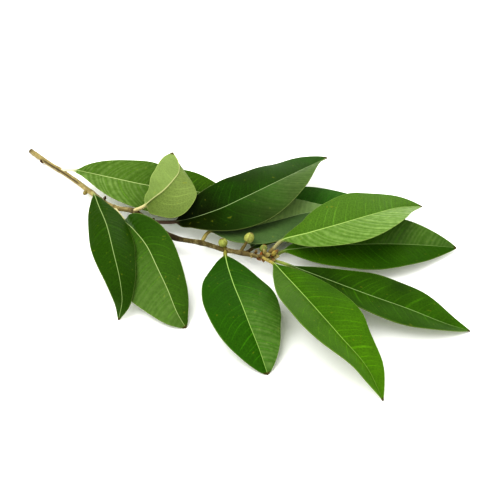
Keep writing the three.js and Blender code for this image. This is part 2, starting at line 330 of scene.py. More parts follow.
BUD_FOOT_ROWS = 12
BUD_FOOT_START = 0.4
BUD_STALK_TAPER = 0.8
BUD_ROWS = 44
BUD_SIDES = 48

# The scales of a bud: how far their seams lean round it, how many tiers of them there are from
# its base to its tip, and how wide the dried edges are, as shares of a scale.
BUD_LEAN = 0.5
BUD_TIERS = 2.2
BUD_EDGE = 0.1
BUD_TIER_EDGE = 0.12


@dataclass(frozen=True)
class Bud:
    """A bud on the line from a point inside the stem to its own middle, in millimetres.

    "sharpness" is 1 for a round bud, and higher for one that is widest near its base and comes
    to a sharper tip.
    """

    name: str
    start: tuple
    middle: tuple
    width: float
    length: float
    sharpness: float
    body: str
    edge: str
    stalk_radius: float = 0.5


SIDE_BUDS = [
    Bud("side_bud_1", (-104.5, 77.6, 2.5), (-103.7, 75.6, 2.1), 2.2, 3, 1.4, "#372311", "#51351E"),
    Bud("side_bud_2", (-76, 47.2, 6.7), (-77.2, 45.5, 6.4), 2.2, 3, 1.4, "#7A6E3A", "#54452A"),
    Bud("side_bud_3", (-66.5, 37.5, 8), (-66.1, 38.1, 9.6), 1.4, 2, 1.4, "#423416", "#534225"),
    Bud("side_bud_4", (-42, 21, 8.8), (-40.9, 22.7, 8.7), 1.7, 3, 1.6, "#4C2A15", "#6E4223"),
]
FLOWER_BUDS = [
    Bud("flower_bud_1", (-4, 1, 9), (-5.2, 3, 12), 4.6, 4.6, 1, "#80863F", "#62541A", 1.3),
    Bud("flower_bud_2", (3.2, -0.7, 9), (7.7, 3.9, 14.7), 4.7, 5.4, 1.25, "#878B44", "#60512A", 0.85),
    Bud("flower_bud_3", (13, -3.5, 9), (14.6, -0.6, 11.6), 3.8, 4.1, 1, "#6A7438", "#8B5427", 0.8),
]
TIP_BUD = Bud("tip_bud", (18.2, -4.2, 9.4), (19.8, -4.9, 12.9), 2.1, 4.2, 1.6, "#918442", "#7D5127")

# Papery scales round the growing tip: where each one's foot is, the way it points, and its
# length as a share of the usual one.
SCALES = [
    ((19, -3.4, 9.9), (0.8, 0.4, 0.7), 1.1),
    ((18.6, -4.5, 9.9), (1, -0.3, 0.4), 1.1),
    ((18, -4.9, 9.4), (0.6, -0.8, 0.3), 1),
    ((17.7, -3.6, 10), (0.3, 0.3, 0.9), 1.2),
    ((17.1, -2.8, 9.1), (0.9, 0.7, 0.1), 1),
    ((16.4, -4.8, 9.5), (0.2, -0.9, 0.5), 0.9),
    ((15.8, -3.6, 10), (-0.3, 0.2, 0.9), 1),
    ((15.1, -4.2, 10), (0.6, -0.4, 0.8), 1.2),
    ((14.3, -4.7, 9.1), (0.1, -1, 0.1), 0.8),
    ((13.9, -2.9, 9.8), (0.4, 0.6, 0.7), 1),
    ((12.4, -4.2, 9.7), (-0.3, -0.7, 0.7), 0.8),
    ((11.5, -4.2, 9.3), (0.6, -0.9, 0.2), 0.9),
    ((10.5, -2.7, 10), (0.3, 0.1, 0.9), 0.8),
    ((9.1, -3.5, 9.5), (-0.2, -0.8, 0.4), 0.7),
]
SCALES_FACE = (0.2, -0.6, 0.8)
SCALES_SEED = 31
SCALE_ROWS = 14
SCALE_SIDES = 16
SCALE_THICKNESS = 0.22
SCALE_WIDTH = 0.6
SCALE_HUG = 0.35
SCALE_BOW = 0.12


# ---- What a user would change ----


def a_length(name, description, default, least, most):
    """A length that a user may change, given in millimetres."""
    return bpy.props.FloatProperty(
        name=name, description=description, default=default * MM, min=least * MM,
        max=most * MM, precision=5, subtype="DISTANCE",
    )


def a_colour(name, description, default):
    """A colour that a user may change, given as an sRGB hex value."""
    return bpy.props.FloatVectorProperty(
        name=name, description=description, default=linear(default), min=0, max=1,
        subtype="COLOR",
    )


def a_number(name, description, default, least=0, most=1, subtype="FACTOR"):
    """A number that a user may change."""
    return bpy.props.FloatProperty(
        name=name, description=description, default=default, min=least, max=most,
        subtype=subtype,
    )


class LaurelStemSettings(bpy.types.PropertyGroup):
    """Sizes and colours of the woody stem."""

    cut_radius: a_length(
        "Radius at the cut", "Half the stem's thickness at its cut end", 1.35, 0.5, 4
    )
    tip_radius: a_length(
        "Radius at the tip", "Half the stem's thickness at its growing tip", 1.05, 0.5, 4
    )
    old_bark: a_colour("Older bark", "Colour of the bark near the cut end", "#8E8152")
    dark_bark: a_colour("Dark bark", "Colour of the bark just past halfway along", "#41351B")
    middle_bark: a_colour("Middle bark", "Colour of the bark two thirds of the way along", "#544A24")
    young_bark: a_colour("Young bark", "Colour of the bark near the growing tip", "#665A34")
    wood: a_colour("Wood", "Colour of the wood on the cut end", "#7E705C")


class LaurelLeafSettings(bpy.types.PropertyGroup):
    """Sizes and finish that all the leaves share."""

    blade_thickness: a_length(
        "Blade thickness", "Thickness of the leaf blade away from its midrib", 0.4, 0.1, 1
    )
    vein_spacing: a_length(
        "Side vein spacing", "Distance between side veins along the midrib", 5.6, 3, 20
    )
    quilting: a_length("Quilting", "How far the blade rises between its side veins", 0.08, 0, 1)
    upper_roughness: a_number("Upper side roughness", "Roughness of the waxy upper side", 0.42)
    under_roughness: a_number("Underside roughness", "Roughness of the matte underside", 0.62)
    under_deep: a_colour("Underside", "Colour of the underside", "#54642C")
    under_fresh: a_colour("Underside clouds", "Lighter colour that clouds the underside", "#728149")


class LaurelBudSettings(bpy.types.PropertyGroup):
    """Sizes and finish that all the buds share."""

    scale_height: a_length(
        "Scale height", "How far the edge of a bud scale stands proud", 0.15, 0, 0.5
    )
    scale_length: a_length(
        "Papery scale length", "Usual length of a papery scale at the tip", 3.6, 1, 6
    )
    roughness: a_number("Roughness", "Roughness of the bud scales", 0.5)


class LaurelStageSettings(bpy.types.PropertyGroup):
    """The table, the lights and the camera."""

    table: a_colour("Table", "Colour of the white table", "#F4F4F2")
    window_power: a_number(
        "Window power", "Power of the large soft light behind the branch", 2.8, 0, 500, "POWER"
    )
    overhead_power: a_number(
        "Overhead power", "Power of the soft light above the branch", 10, 0, 500, "POWER"
    )
    sky_strength: a_number(
        "Room light", "Strength of the even light from the room", 1.12, 0, 5, "NONE"
    )
    lens: a_number("Lens", "Focal length of the camera, in millimetres", 85, 10, 300, "NONE")


# ---- Curves and small helpers ----

# A curve's length is measured on this many points, and its direction over this short a step.
CURVE_POINTS = 1201
CURVE_STEP = 1e-3


def smoothstep(x, low, high):
    """0 below low, 1 above high, and a smooth rise between them."""
    t = np.clip((x - low) / (high - low), 0, 1)
    return t * t * (3 - 2 * t)


def lerp(a, b, share):
    """A value that goes from a to b as the share goes from 0 to 1."""
    return a + (b - a) * share


def unit(v):
    """Vectors in the same direction, one long."""
    return v / np.linalg.norm(v, axis=-1, keepdims=True)


def circle(sides):
    """The angles of a ring's points."""
    return np.linspace(0, TURN, sides, endpoint=False)


def nearest_row(centres, point):
    """Which of the centres is nearest to a point."""
    return np.linalg.norm(centres - np.array(point), axis=1).argmin()


def between(values, u):
    """A value given at the base, the middle and the tip, at shares u of the blade's length."""
    base, middle, tip = values
    return base * (1 - u) * (1 - 2 * u) + middle * 4 * u * (1 - u) + tip * u * (2 * u - 1)


def catmull_rom(points, t):
    """Places at t, from 0 to 1, on a centripetal Catmull-Rom curve through the points."""
    p = np.array(points, float)
    padded = np.vstack([2 * p[0] - p[1], p, 2 * p[-1] - p[-2]])
    place = np.asarray(t, float) * (len(p) - 1)
    i = np.minimum(place.astype(int), len(p) - 2)
    w = (place - i)[:, None]
    p0, p1, p2, p3 = (padded[i + k] for k in range(4))
    d0, d1, d2 = (
        np.sqrt(np.linalg.norm(b - a, axis=1, keepdims=True))
        for a, b in ((p0, p1), (p1, p2), (p2, p3))
    )
    t1 = ((p1 - p0) / d0 - (p2 - p0) / (d0 + d1) + (p2 - p1) / d1) * d1
    t2 = ((p2 - p1) / d1 - (p3 - p1) / (d1 + d2) + (p3 - p2) / d2) * d1
    c2 = -3 * p1 + 3 * p2 - 2 * t1 - t2
    c3 = 2 * p1 - 2 * p2 + t1 + t2
    return p1 + t1 * w + c2 * w**2 + c3 * w**3


def follow(points, shares):
    """Places and directions at shares of the length of a curve through points, and its length."""
    t = np.linspace(0, 1, CURVE_POINTS)
    fine = catmull_rom(points, t)
    lengths = np.concatenate([[0], np.cumsum(np.linalg.norm(np.diff(fine, axis=0), axis=1))])
    at = np.interp(np.asarray(shares) * lengths[-1], lengths, t)
    ahead = catmull_rom(points, np.minimum(at + CURVE_STEP, 1))
    behind = catmull_rom(points, np.maximum(at - CURVE_STEP, 0))
    return catmull_rom(points, at), unit(ahead - behind), lengths[-1]


def drift(rng, x, y, period, waves=5):
    """A smooth random height field of about plus or minus one, with waves near that period."""
    total = np.zeros(np.broadcast(x, y).shape)
    for _ in range(waves):
        turn, phase = rng.uniform(0, TURN, 2)
        pace = TURN / (period * rng.uniform(0.7, 1.5))
        total += np.sin(pace * (x * np.cos(turn) + y * np.sin(turn)) + phase)
    return total / np.sqrt(waves)


# ---- Meshes ----


def skin_over(name, rings, maps, slots=None):
    """A closed skin over rings of points, in millimetres, with a fan over each end.

    rings is rows by ring points by 3. Each map holds, for every row and every column of faces,
    the places of the column's two edges: rows by columns by 2 edges by 2. slots gives the
    material slot of each column.
    """
    rows, count = rings.shape[:2]
    points = np.vstack([rings.reshape(-1, 3), rings[0].mean(0), rings[-1].mean(0)]) * MM
    k = np.arange(count)
    ahead = (k + 1) % count
    r = np.arange(rows - 1)[:, None] * count
    quads = np.stack([r + k, r + ahead, r + count + ahead, r + count + k], -1).reshape(-1, 4)
    first, last = rows * count, (rows - 1) * count
    fans = [np.stack([np.full(count, first), ahead, k], -1)]
    fans.append(np.stack([np.full(count, first + 1), last + k, last + ahead], -1))
    mesh = bpy.data.meshes.new(name)
    mesh.from_pydata(points.tolist(), [], quads.tolist() + np.vstack(fans).tolist())
    for title, places in maps.items():
        near, far = places[:-1], places[1:]
        corners = [np.stack([near[..., 0, :], near[..., 1, :], far[..., 1, :], far[..., 0, :]], 2)]
        for end, beside, order in ((0, 1, (1, 0)), (-1, -2, (0, 1))):
            middle = places[end].mean(1) + (places[end] - places[beside]).mean(1)
            corners.append(np.stack([middle, *(places[end][:, side] for side in order)], 1))
        layer = mesh.uv_layers.new(name=title)
        layer.data.foreach_set("uv", np.vstack([c.reshape(-1, 2) for c in corners]).ravel())
    if slots is not None:
        faces = np.concatenate([np.tile(slots, rows - 1), slots, slots])
        mesh.polygons.foreach_set("material_index", faces.astype(np.int32))
    mesh.polygons.foreach_set("use_smooth", np.ones(len(mesh.polygons), bool))
    mesh.update()
    return mesh


def around(values):
    """The two edges of each column of faces, for values on a ring that closes on itself."""
    return np.stack([values, np.roll(values, -1, 1)], 2)


def unrolled(rows, sides):
    """How far along and how far round the edges of each column are, from 0 to 1."""
    turn = np.linspace(0, 1, sides + 1)
    edges = np.broadcast_to(np.stack([turn[:-1], turn[1:]], -1)[None], (rows, sides, 2))
    return np.broadcast_to(np.linspace(0, 1, rows)[:, None, None], edges.shape), edges


def bake_map(along, across):
    """A clean unwrapped layout from the places of each column's edges, each from 0 to 1."""
    return np.stack([0.01 + 0.98 * along, 0.01 + 0.98 * across], -1)


def add_piece(title, mesh, materials, name=None):
    """Add a piece that rides on the branch, and stands for the CAD node of that name if any."""
    piece = bpy.data.objects.new(title, mesh)
    bpy.context.scene.collection.objects.link(piece)
    for material in materials:
        mesh.materials.append(material)
    if name:
        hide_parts(name)
    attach(piece, "root")


# ---- Materials ----


def add_node(tree, kind, inputs=None, **settings):
    """Add a shader node with its settings, and set or link its inputs.

    An input is a value, a socket, or a node, which gives its first output in use.
    """
    node = tree.nodes.new("ShaderNode" + kind)
    for name, value in settings.items():
        setattr(node, name, value)
    for name, value in (inputs or {}).items():
        if isinstance(name, int):
            socket = node.inputs[name]
        else:
            socket = next(s for s in node.inputs if s.name == name and s.enabled)
        if isinstance(value, bpy.types.Node):
            value = next(s for s in value.outputs if s.enabled)
        if isinstance(value, bpy.types.NodeSocket):
            tree.links.new(value, socket)
        elif socket.type == "RGBA":
            socket.default_value = (*value[:3], 1)
        else:
            socket.default_value = value
    return node


def new_material(name):
    """A material whose node tree is still empty, and a function that adds nodes to that tree."""
    material = bpy.data.materials.new(name)
    material.use_nodes = True
    material.node_tree.nodes.clear()
    return material, partial(add_node, material.node_tree)


def finish_material(node, colour, gloss, height, relief, strength=1):
    """Give a material its colour, its gloss, and relief of a height in millimetres."""
    bump = node("Bump", {"Height": height, "Distance": relief * MM, "Strength": strength})
    shader = node("BsdfPrincipled", {"Base Color": colour, "Normal": bump, **gloss})
    node("OutputMaterial", {"Surface": shader})


# The node settings that several materials share, and the inputs of a Map Range node in the
# order that the tables of ranges below list them.
SOFT = {"interpolation_type": "SMOOTHSTEP"}
COLOURS = {"data_type": "RGBA"}
RANGE = ("Value", "From Min", "From Max", "To Min", "To Max")


@dataclass(frozen=True)
class BladeSide:
    """How one side of the blade differs from the other.

    The shares say how much its side veins, its net of veinlets and its pale rim show, and the
    relief of its veins is in millimetres.
    """

    vein_share: float
    veinlet_share: float
    rim_share: float
    relief: float


UPPER_SIDE = BladeSide(vein_share=0.4, veinlet_share=0.1, rim_share=0.16, relief=0.03)
UNDERSIDE = BladeSide(vein_share=0.22, veinlet_share=0.08, rim_share=0.3, relief=0.025)

# Sizes on a real blade, in millimetres, except that what would be too fine to show is drawn
# coarser: the side veins are about 0.15 mm wide, and are drawn twice as wide, and the cells
# between the veinlets are about 0.5 mm across, and are drawn 1.3 mm across.
CLOUD_SIZE = 22
VEINLET_SIZE = 1.3
SPECK_SIZE = 2.2
VEIN_CORE = 0.12
VEIN_EDGE = 0.36
RIM_WIDTH = 0.35

# How far from the middle the painted sheen of one half gives way to that of the other, in
# midrib half-widths, and how many times paler a vein is than the tissue round it.
PAINTED_SHEEN_STEP = 1.5
PALE_VEIN = 3


def leaf_tissue(name, side, leaf, colours, roughness, vein_spacing, length):
    """One side of a living laurel leaf.

    The tissue is clouded from a deep to a fresher green. A pale midrib runs up the middle,
    thin curved side veins leave it, and a net of veinlets fills the cells between them. The
    very edge is pale, because it has no green tissue, and the tip has dried brown. A pale
    painted sheen, a painted highlight in place of glare, lightens parts of each half. The waxy
    upper side shines, and the underside is matte.
    """
    deep, fresh, rib = colours
    material, node = new_material(name)
    blade = node("SeparateXYZ", {0: node("UVMap", uv_map="Blade")})
    veins = node("SeparateXYZ", {0: node("UVMap", uv_map="Veins")})
    along, from_rib = blade.outputs["X"], blade.outputs["Y"]
    phase, from_margin = veins.outputs["X"], veins.outputs["Y"]
    place = node("TexCoord").outputs["Object"]
    clouds = node("TexNoise", {"Vector": place, "Scale": 1 / (CLOUD_SIZE * MM)})
    specks = node("TexNoise", {"Vector": place, "Scale": 1 / (SPECK_SIZE * MM), "Detail": 1})
    net = node(
        "TexVoronoi", {"Vector": place, "Scale": 1 / (VEINLET_SIZE * MM)},
        feature="DISTANCE_TO_EDGE",
    )
    from_middle = node("Math", {0: from_rib}, operation="ABSOLUTE")
    from_vein, from_any_vein = (
        node("Math", {0: phase, 1: interval}, operation="PINGPONG")
        for interval in (0.5, 0.25)
    )

    # What each share follows, from where to where, and how much it is at either end. Every
    # second side vein is a fainter one, and all fade out before the margin.
    core, edge = (width * MM / vein_spacing for width in (VEIN_CORE, VEIN_EDGE))
    even = {
        "cloudy": (clouds, 0.3, 0.75, 0, 0.4),
        "younger": (along, 0, length, 0, 0.6),
        "patchy": (clouds, 0.3, 0.7, 0, side.vein_share * leaf.veins),
        # The painted sheen, a pale painted highlight: how much lies on each half, and spots where it
        # is weaker or stronger.
        "painted_sheen_share": (from_rib, -PAINTED_SHEEN_STEP, PAINTED_SHEEN_STEP, *leaf.painted_sheen_halves),
        "rubbed": (specks, 0.35, 0.65, 1 - 0.5 * leaf.streaks, 1 + 0.4 * leaf.streaks),
        "rough": (clouds, 0, 1, roughness - 0.05, roughness + 0.07),
    }
    soft = {
        "veinlets": (net, 0.02, 0.2, 1, 0),
        "main": (from_vein, core, edge, 1, 0),
        "minor": (from_any_vein, core, edge, 0.3, 0),
        "inward": (from_margin, 0.8, 5, 0, 1),
        "speckled": (specks, 0.7, 0.78, 0, 0.3),
        # How strong the painted sheen is from the base to the tip, and its streaks along the side
        # veins.
        "thickness": (along, 0.2 * length, 0.8 * length, *leaf.painted_sheen_share),
        "ridged": (from_any_vein, 0, 0.25, 1 - leaf.streaks, 1 + 0.3 * leaf.streaks),
        "midrib": (from_middle, 0.5, 1.2, 0.85, 0),
        "rim": (from_margin, 0.05, RIM_WIDTH, side.rim_share, 0),
        "tip": (along, length - leaf.dried, length - 0.4 * leaf.dried, 0, 0.88),
        "stalk": (along, -1.5, 3, 1, 0),
    }
    shares = {}
    for table, settings in ((even, {}), (soft, SOFT)):
        for title, values in table.items():
            shares[title] = node("MapRange", dict(zip(RANGE, values)), **settings)

    # Shares that are made of others: what each is called, how it is made, and of what.
    for title, operation, first, second in (
        ("clouded", "ADD", "cloudy", "younger"),
        ("pale net", "MULTIPLY", "veinlets", side.veinlet_share),
        ("strongest", "MAXIMUM", "main", "minor"),
        ("side veins", "MULTIPLY", "strongest", "inward"),
        ("pale veins", "MULTIPLY", "side veins", "patchy"),
        # The painted sheen, a painted highlight, is the product of these.
        ("painted sheen", "MULTIPLY", "painted_sheen_share", "thickness"),
        ("painted sheen", "MULTIPLY", "painted sheen", "ridged"),
        ("painted sheen", "MULTIPLY", "painted sheen", "rubbed"),
        ("low relief", "MULTIPLY", "veinlets", 0.4),
        ("relief", "ADD", "low relief", "side veins"),
    ):
        parts = {0: shares[first], 1: shares.get(second, second)}
        shares[title] = node("Math", parts, operation=operation)

    # What lies over the deep green, from the first layer to the last.
    tissue = deep
    paler = [PALE_VEIN] * 3
    for title, colour, blend in (
        ("clouded", fresh, "MIX"),
        ("pale net", paler, "MULTIPLY"),
        ("pale veins", paler, "MULTIPLY"),
        ("speckled", linear("#7D7D1C"), "MIX"),
        # A pale painted sheen, a painted highlight that stands in for glare.
        ("painted sheen", linear("#8DA563"), "MIX"),
        ("midrib", rib, "MIX"),
        ("rim", linear("#AEB973"), "MIX"),
        ("tip", linear("#463716"), "MIX"),
        ("stalk", linear(leaf.stalk), "MIX"),
    ):
        layer = {"Factor": shares[title], "A": tissue, "B": colour}
        tissue = node("Mix", layer, blend_type=blend, **COLOURS)

    gloss = {"Roughness": shares["rough"], "IOR": 1.42, "Specular IOR Level": 0.24}
    finish_material(node, tissue, gloss, shares["relief"], relief=side.relief, strength=0.6)
    return material


# Sizes on real bark, wood, bud scales and card, in millimetres, except that the pores of the
# wood, about 0.05 mm wide, and the tooth of the card, about 0.2 mm, are drawn coarser, because
# they would be too fine to show.
BARK_MOTTLE_SIZE = 1.6
WOOD_GRAIN_SIZE = 0.35
BUD_MOTTLE_SIZE = 0.9
CARD_TOOTH_SIZE = 1

# How much lighter the light spots of a bud scale are.
LIGHT_SPOT_GAIN = 1.35
LIGHT_SPOT_LIFT = 0.02

# How many streaks of the bark follow one another along the stem's 163 mm, and lie side by side
# round its 7.5 mm, so that each is about 3 mm long and 0.2 mm wide.
BARK_STREAKS = (54, 42, 1)


def young_bark(settings):
    """Thin, smooth bark of a first-year shoot, satin, streaked lengthwise.

    It is tan where it has turned woody near the cut, and browner towards the growing tip.
    """
    material, node = new_material("Laurel bark, smooth young growth")
    split = node("SeparateXYZ", {0: node("UVMap", uv_map="Bark")})
    along, dark = split.outputs["X"], split.outputs["Y"]
    run = node("UVMap", uv_map="OFBake")
    stretched = node("Mapping", {"Vector": run, "Scale": BARK_STREAKS})
    streaks = node("TexNoise", {"Vector": stretched, "Scale": 1, "Detail": 4})
    place = node("TexCoord").outputs["Object"]
    mottle = node("TexNoise", {"Vector": place, "Scale": 1 / (BARK_MOTTLE_SIZE * MM)})
    bark = node("ValToRGB", {"Fac": along})
    stops = [
        (0, settings.old_bark), (0.46, settings.old_bark), (0.54, settings.dark_bark),
        (0.6, settings.dark_bark), (0.66, settings.middle_bark), (0.8, settings.middle_bark),
        (0.9, settings.young_bark),
    ]
    elements = bark.color_ramp.elements
    while len(elements) < len(stops):
        elements.new(0.5)
    for element, (position, colour) in zip(elements, stops):
        element.position = position
        element.color = (*colour, 1)
    streaky, mottled = (
        node("MapRange", dict(zip(RANGE, values)))
        for values in ((streaks, 0.45, 0.75, 0, 0.5), (mottle, 0.5, 0.8, 0, 0.4))
    )
    for share, colour in ((streaky, "#534221"), (mottled, "#C4B989"), (dark, "#2D2016")):
        bark = node("Mix", {"Factor": share, "A": bark, "B": linear(colour)}, **COLOURS)
    gloss = {"Roughness": 0.55, "IOR": 1.45}
    finish_material(node, bark, gloss, streaks, relief=0.08, strength=0.7)
    return material


def cut_wood(settings):
    """Green wood as the knife left it: pale, dry and matte, with a darker grain."""
    material, node = new_material("Laurel wood, knife cut")
    place = node("TexCoord").outputs["Object"]
    grain = node("TexNoise", {"Vector": place, "Scale": 1 / (WOOD_GRAIN_SIZE * MM)})
    share = node("MapRange", dict(zip(RANGE, (grain, 0.35, 0.7, 0, 0.8))))
    layer = {"Factor": share, "A": settings.wood, "B": linear("#6E5F42")}
    wood = node("Mix", layer, **COLOURS)
    finish_material(node, wood, {"Roughness": 0.8, "IOR": 1.5}, grain, relief=0.1)
    return material


def bud_scale(name, body, edge, roughness):
    """Small overlapping bud scales, satin and smooth, browner where their edges have dried."""
    material, node = new_material(name)
    split = node("SeparateXYZ", {0: node("UVMap", uv_map="Scales")})
    place = node("TexCoord").outputs["Object"]
    mottle = node("TexNoise", {"Vector": place, "Scale": 1 / (BUD_MOTTLE_SIZE * MM)})
    light = [min(1, c * LIGHT_SPOT_GAIN + LIGHT_SPOT_LIFT) for c in body]
    mottled = node("MapRange", dict(zip(RANGE, (mottle, 0.4, 0.7, 0, 1))))
    scale = body
    for share, colour in ((mottled, light), (split.outputs["X"], edge)):
        scale = node("Mix", {"Factor": share, "A": scale, "B": colour}, **COLOURS)
    gloss = {"Roughness": roughness, "IOR": 1.45}
    finish_material(node, scale, gloss, mottle, relief=0.05, strength=0.6)
    return material


# ---- Stem ----


def stem_rings(settings):
    """The stem's rings of points, and how far along and how dark each point is."""
    rng = np.random.default_rng(STEM_SEED)
    shares = np.linspace(0, 1, STEM_ROWS)
    centres, direction, length = follow(STEM_LINE, shares)
    side = unit(np.cross(direction, UPWARD))
    up = np.cross(side, direction)
    turn = circle(STEM_SIDES)
    along = (shares * length)[:, None]

    joints = np.array([STEM_LINE[j] for j in JOINTS], float)
    away = np.linalg.norm(centres[:, None] - joints[None], axis=2) / JOINT_REACH
    radius = lerp(settings.cut_radius, settings.tip_radius, shares) / MM
    radius = (radius + (JOINT_SWELL * np.exp(-(away**2))).max(1))[:, None]
    for height, pace, stretch, period in STEM_RELIEF:
        radius = radius + height * drift(rng, pace * turn[None], along / stretch, period)
    dark = np.zeros((STEM_ROWS, STEM_SIDES))

    scars = np.linalg.norm(centres - np.array(SCALE_SCARS_AT), axis=1)[:, None]
    near = np.exp(-((scars / SCALE_SCARS_REACH) ** 4))
    ring = np.cos(TURN * along / SCALE_SCARS_APART + 0.4 * np.sin(turn)) ** 2
    radius = radius + near * SCALE_SCARS_HEIGHT * ring
    dark = np.maximum(dark, near * (0.5 + 0.4 * (1 - ring)))

    for joint in joints:
        row = nearest_row(centres, joint)
        ring = np.exp(-(((along - along[row]) / LEAF_SCAR_WIDTH) ** 2))
        dark = np.maximum(dark, LEAF_SCAR_DARK * ring * (0.6 + 0.4 * np.cos(turn - row)))
    dark = np.maximum(dark, CUT_BARK_DARK * np.exp(-((along / CUT_BARK_REACH) ** 2)))

    row = np.arange(STEM_ROWS)
    outside, inside = CREASE_FADE_OUTSIDE, CREASE_FADE_INSIDE
    for start, end, degrees in CREASES:
        first, last = nearest_row(centres, start), nearest_row(centres, end)
        runs = smoothstep(row, first - outside, first + inside)
        runs = runs * (1 - smoothstep(row, last - inside, last + outside))
        angle = np.degrees((turn - np.radians(degrees) + np.pi) % TURN - np.pi)
        crease = runs[:, None] * np.exp(-((angle / CREASE_WIDTH) ** 2))[None]
        radius = radius - CREASE_DEPTH * crease
        dark = np.maximum(dark, 0.9 * crease)

    limits = ((0.01, 0.99), (0, TURN), (0.7, 1.3))
    for row, place, size in zip(*(rng.uniform(*limit, LENTICELS) for limit in limits)):
        d_along = (along - row * length) / (LENTICEL_STRETCH * LENTICEL_RADIUS * size)
        d_turn = ((turn - place + np.pi) % TURN - np.pi) * radius / LENTICEL_RADIUS
        spot = np.exp(-(d_along**2) - (d_turn / size) ** 2)
        radius = radius + LENTICEL_HEIGHT * spot
        dark = np.maximum(dark, LENTICEL_DARK * spot)

    out = up[:, None] * np.cos(turn)[None, :, None] + side[:, None] * np.sin(turn)[None, :, None]
    rings = centres[:, None] + out * radius[:, :, None]
    return rings, np.stack([np.broadcast_to(shares[:, None], dark.shape), dark], -1)


def build_stem(settings):
    """The stem, with joints, old bud-scale rings, creases, lenticels and a cut face."""
    rings, bark = stem_rings(settings)
    middle = rings[0].mean(0)
    face = middle + (rings[0] - middle) * np.array(CUT_FACE_RINGS)[:, None, None]
    extra = len(face)
    rings = np.vstack([face, rings])
    bark = np.vstack([np.repeat(bark[:1], extra, 0), bark])
    maps = {"OFBake": bake_map(*unrolled(len(rings), STEM_SIDES)), "Bark": around(bark)}
    mesh = skin_over("stem", rings, maps)
    faces = np.zeros(len(mesh.polygons), np.int32)
    faces[: extra * STEM_SIDES] = 1
    fan = (len(rings) - 1) * STEM_SIDES
    faces[fan : fan + STEM_SIDES] = 1
    mesh.polygons.foreach_set("material_index", faces)
    materials = [young_bark(settings), cut_wood(settings)]
    add_piece("stem_finished", mesh, materials, "stem")


# ---- Leaves ----


def across_shares():
    """Places across the blade, closer together at the midrib and at both margins."""
    t = np.linspace(0, 1, HALF_COLUMNS + 1)
    half = lerp(t, 0.5 - 0.5 * np.cos(np.pi * t), COLUMN_CROWDING)
    return np.concatenate([-half[:0:-1], half])


def outline(leaf, u):
    """Half the blade's width at a share u of its length, for a blade one millimetre wide."""
    shift = np.log(0.5) / np.log(leaf.widest)
    return 0.5 * np.sin(np.pi * np.clip(u, 0, 1) ** shift) ** leaf.fullness


def blade_surface(leaf, u, s, centre, side, normal, flat, half):
    """Places on the blade's middle surface, and how wide each half of it is.

    u is the share of the blade's length, and s goes from -1 at the left margin, through 0 at
    the midrib, to 1 at the right margin.
    """
    toward = side[:, None] * s[..., None]
    if leaf.left:
        margins = [follow(line, u)[0] - centre for line in (leaf.left, leaf.right)]
        to_margin = np.where(s[..., None] < 0, margins[0][:, None], margins[1][:, None])
        at = toward * half[:, None, None]
        at = at + to_margin * (flat[:, None] * np.abs(s))[..., None]
        return centre[:, None] + at, np.linalg.norm(to_margin, axis=2) * flat[:, None]
    u, half, flat = u[:, None], half[:, None], flat[:, None]
    reach = half * np.abs(s) * (1 + flat * between(leaf.uneven, u) * np.sign(s))
    bend = -BLADE_CURL * (np.abs(s) - 1) / 2
    lift = flat * np.radians(between(leaf.lift, u) + bend)
    out = side[:, None] * (np.sign(s) * reach * np.cos(lift))[..., None]
    return centre[:, None] + out + normal[:, None] * (reach * np.sin(lift))[..., None], half


def vein_phase(rng, forward, x, right, leaf, spacing):
    """The place between side veins, in steps of one vein, at a distance x from the midrib."""
    run = forward - VEIN_SLANT * x - VEIN_BEND * x**2 / (leaf.width / 2)
    run = run / spacing + 0.5 * right
    phase = run
    starts = rng.uniform(0, TURN, (len(VEIN_STRAYING), 2))
    for (share, pace), (on_right, on_left) in zip(VEIN_STRAYING, starts):
        phase = phase + share * np.sin(pace * run + np.where(right, on_right, on_left))
    return phase


def blade_relief(rng, u, s, forward, x, half, phase, quilting):
    """How far the blade's quilting, waves and fold lift it off its middle surface."""
    right = s > 0
    puffed = np.sin(TURN * phase) ** 2 * np.sin(np.pi * np.abs(s) ** 0.8) ** 0.8
    rise = quilting * (puffed - 0.5 * np.sin(np.pi * np.abs(s)))
    waves = rng.uniform(*MARGIN_WAVES, 2)
    starts = rng.uniform(0, TURN, 2)
    ripples = [np.sin(TURN * wave * u + start) for wave, start in zip(waves, starts)]
    ripple = np.where(right, *ripples)
    rise = rise + MARGIN_RISE * np.abs(s) ** MARGIN_BIAS * ripple * np.sin(np.pi * u) ** 0.7
    swelling = drift(rng, forward, s * half, SWELLING_SIZE)
    rise = rise + SWELLING * swelling * np.sqrt(np.abs(s))
    return rise - FOLD_DEPTH * np.exp(-((x / FOLD_HALF) ** 2)) * (1 - FOLD_TAPER * u)


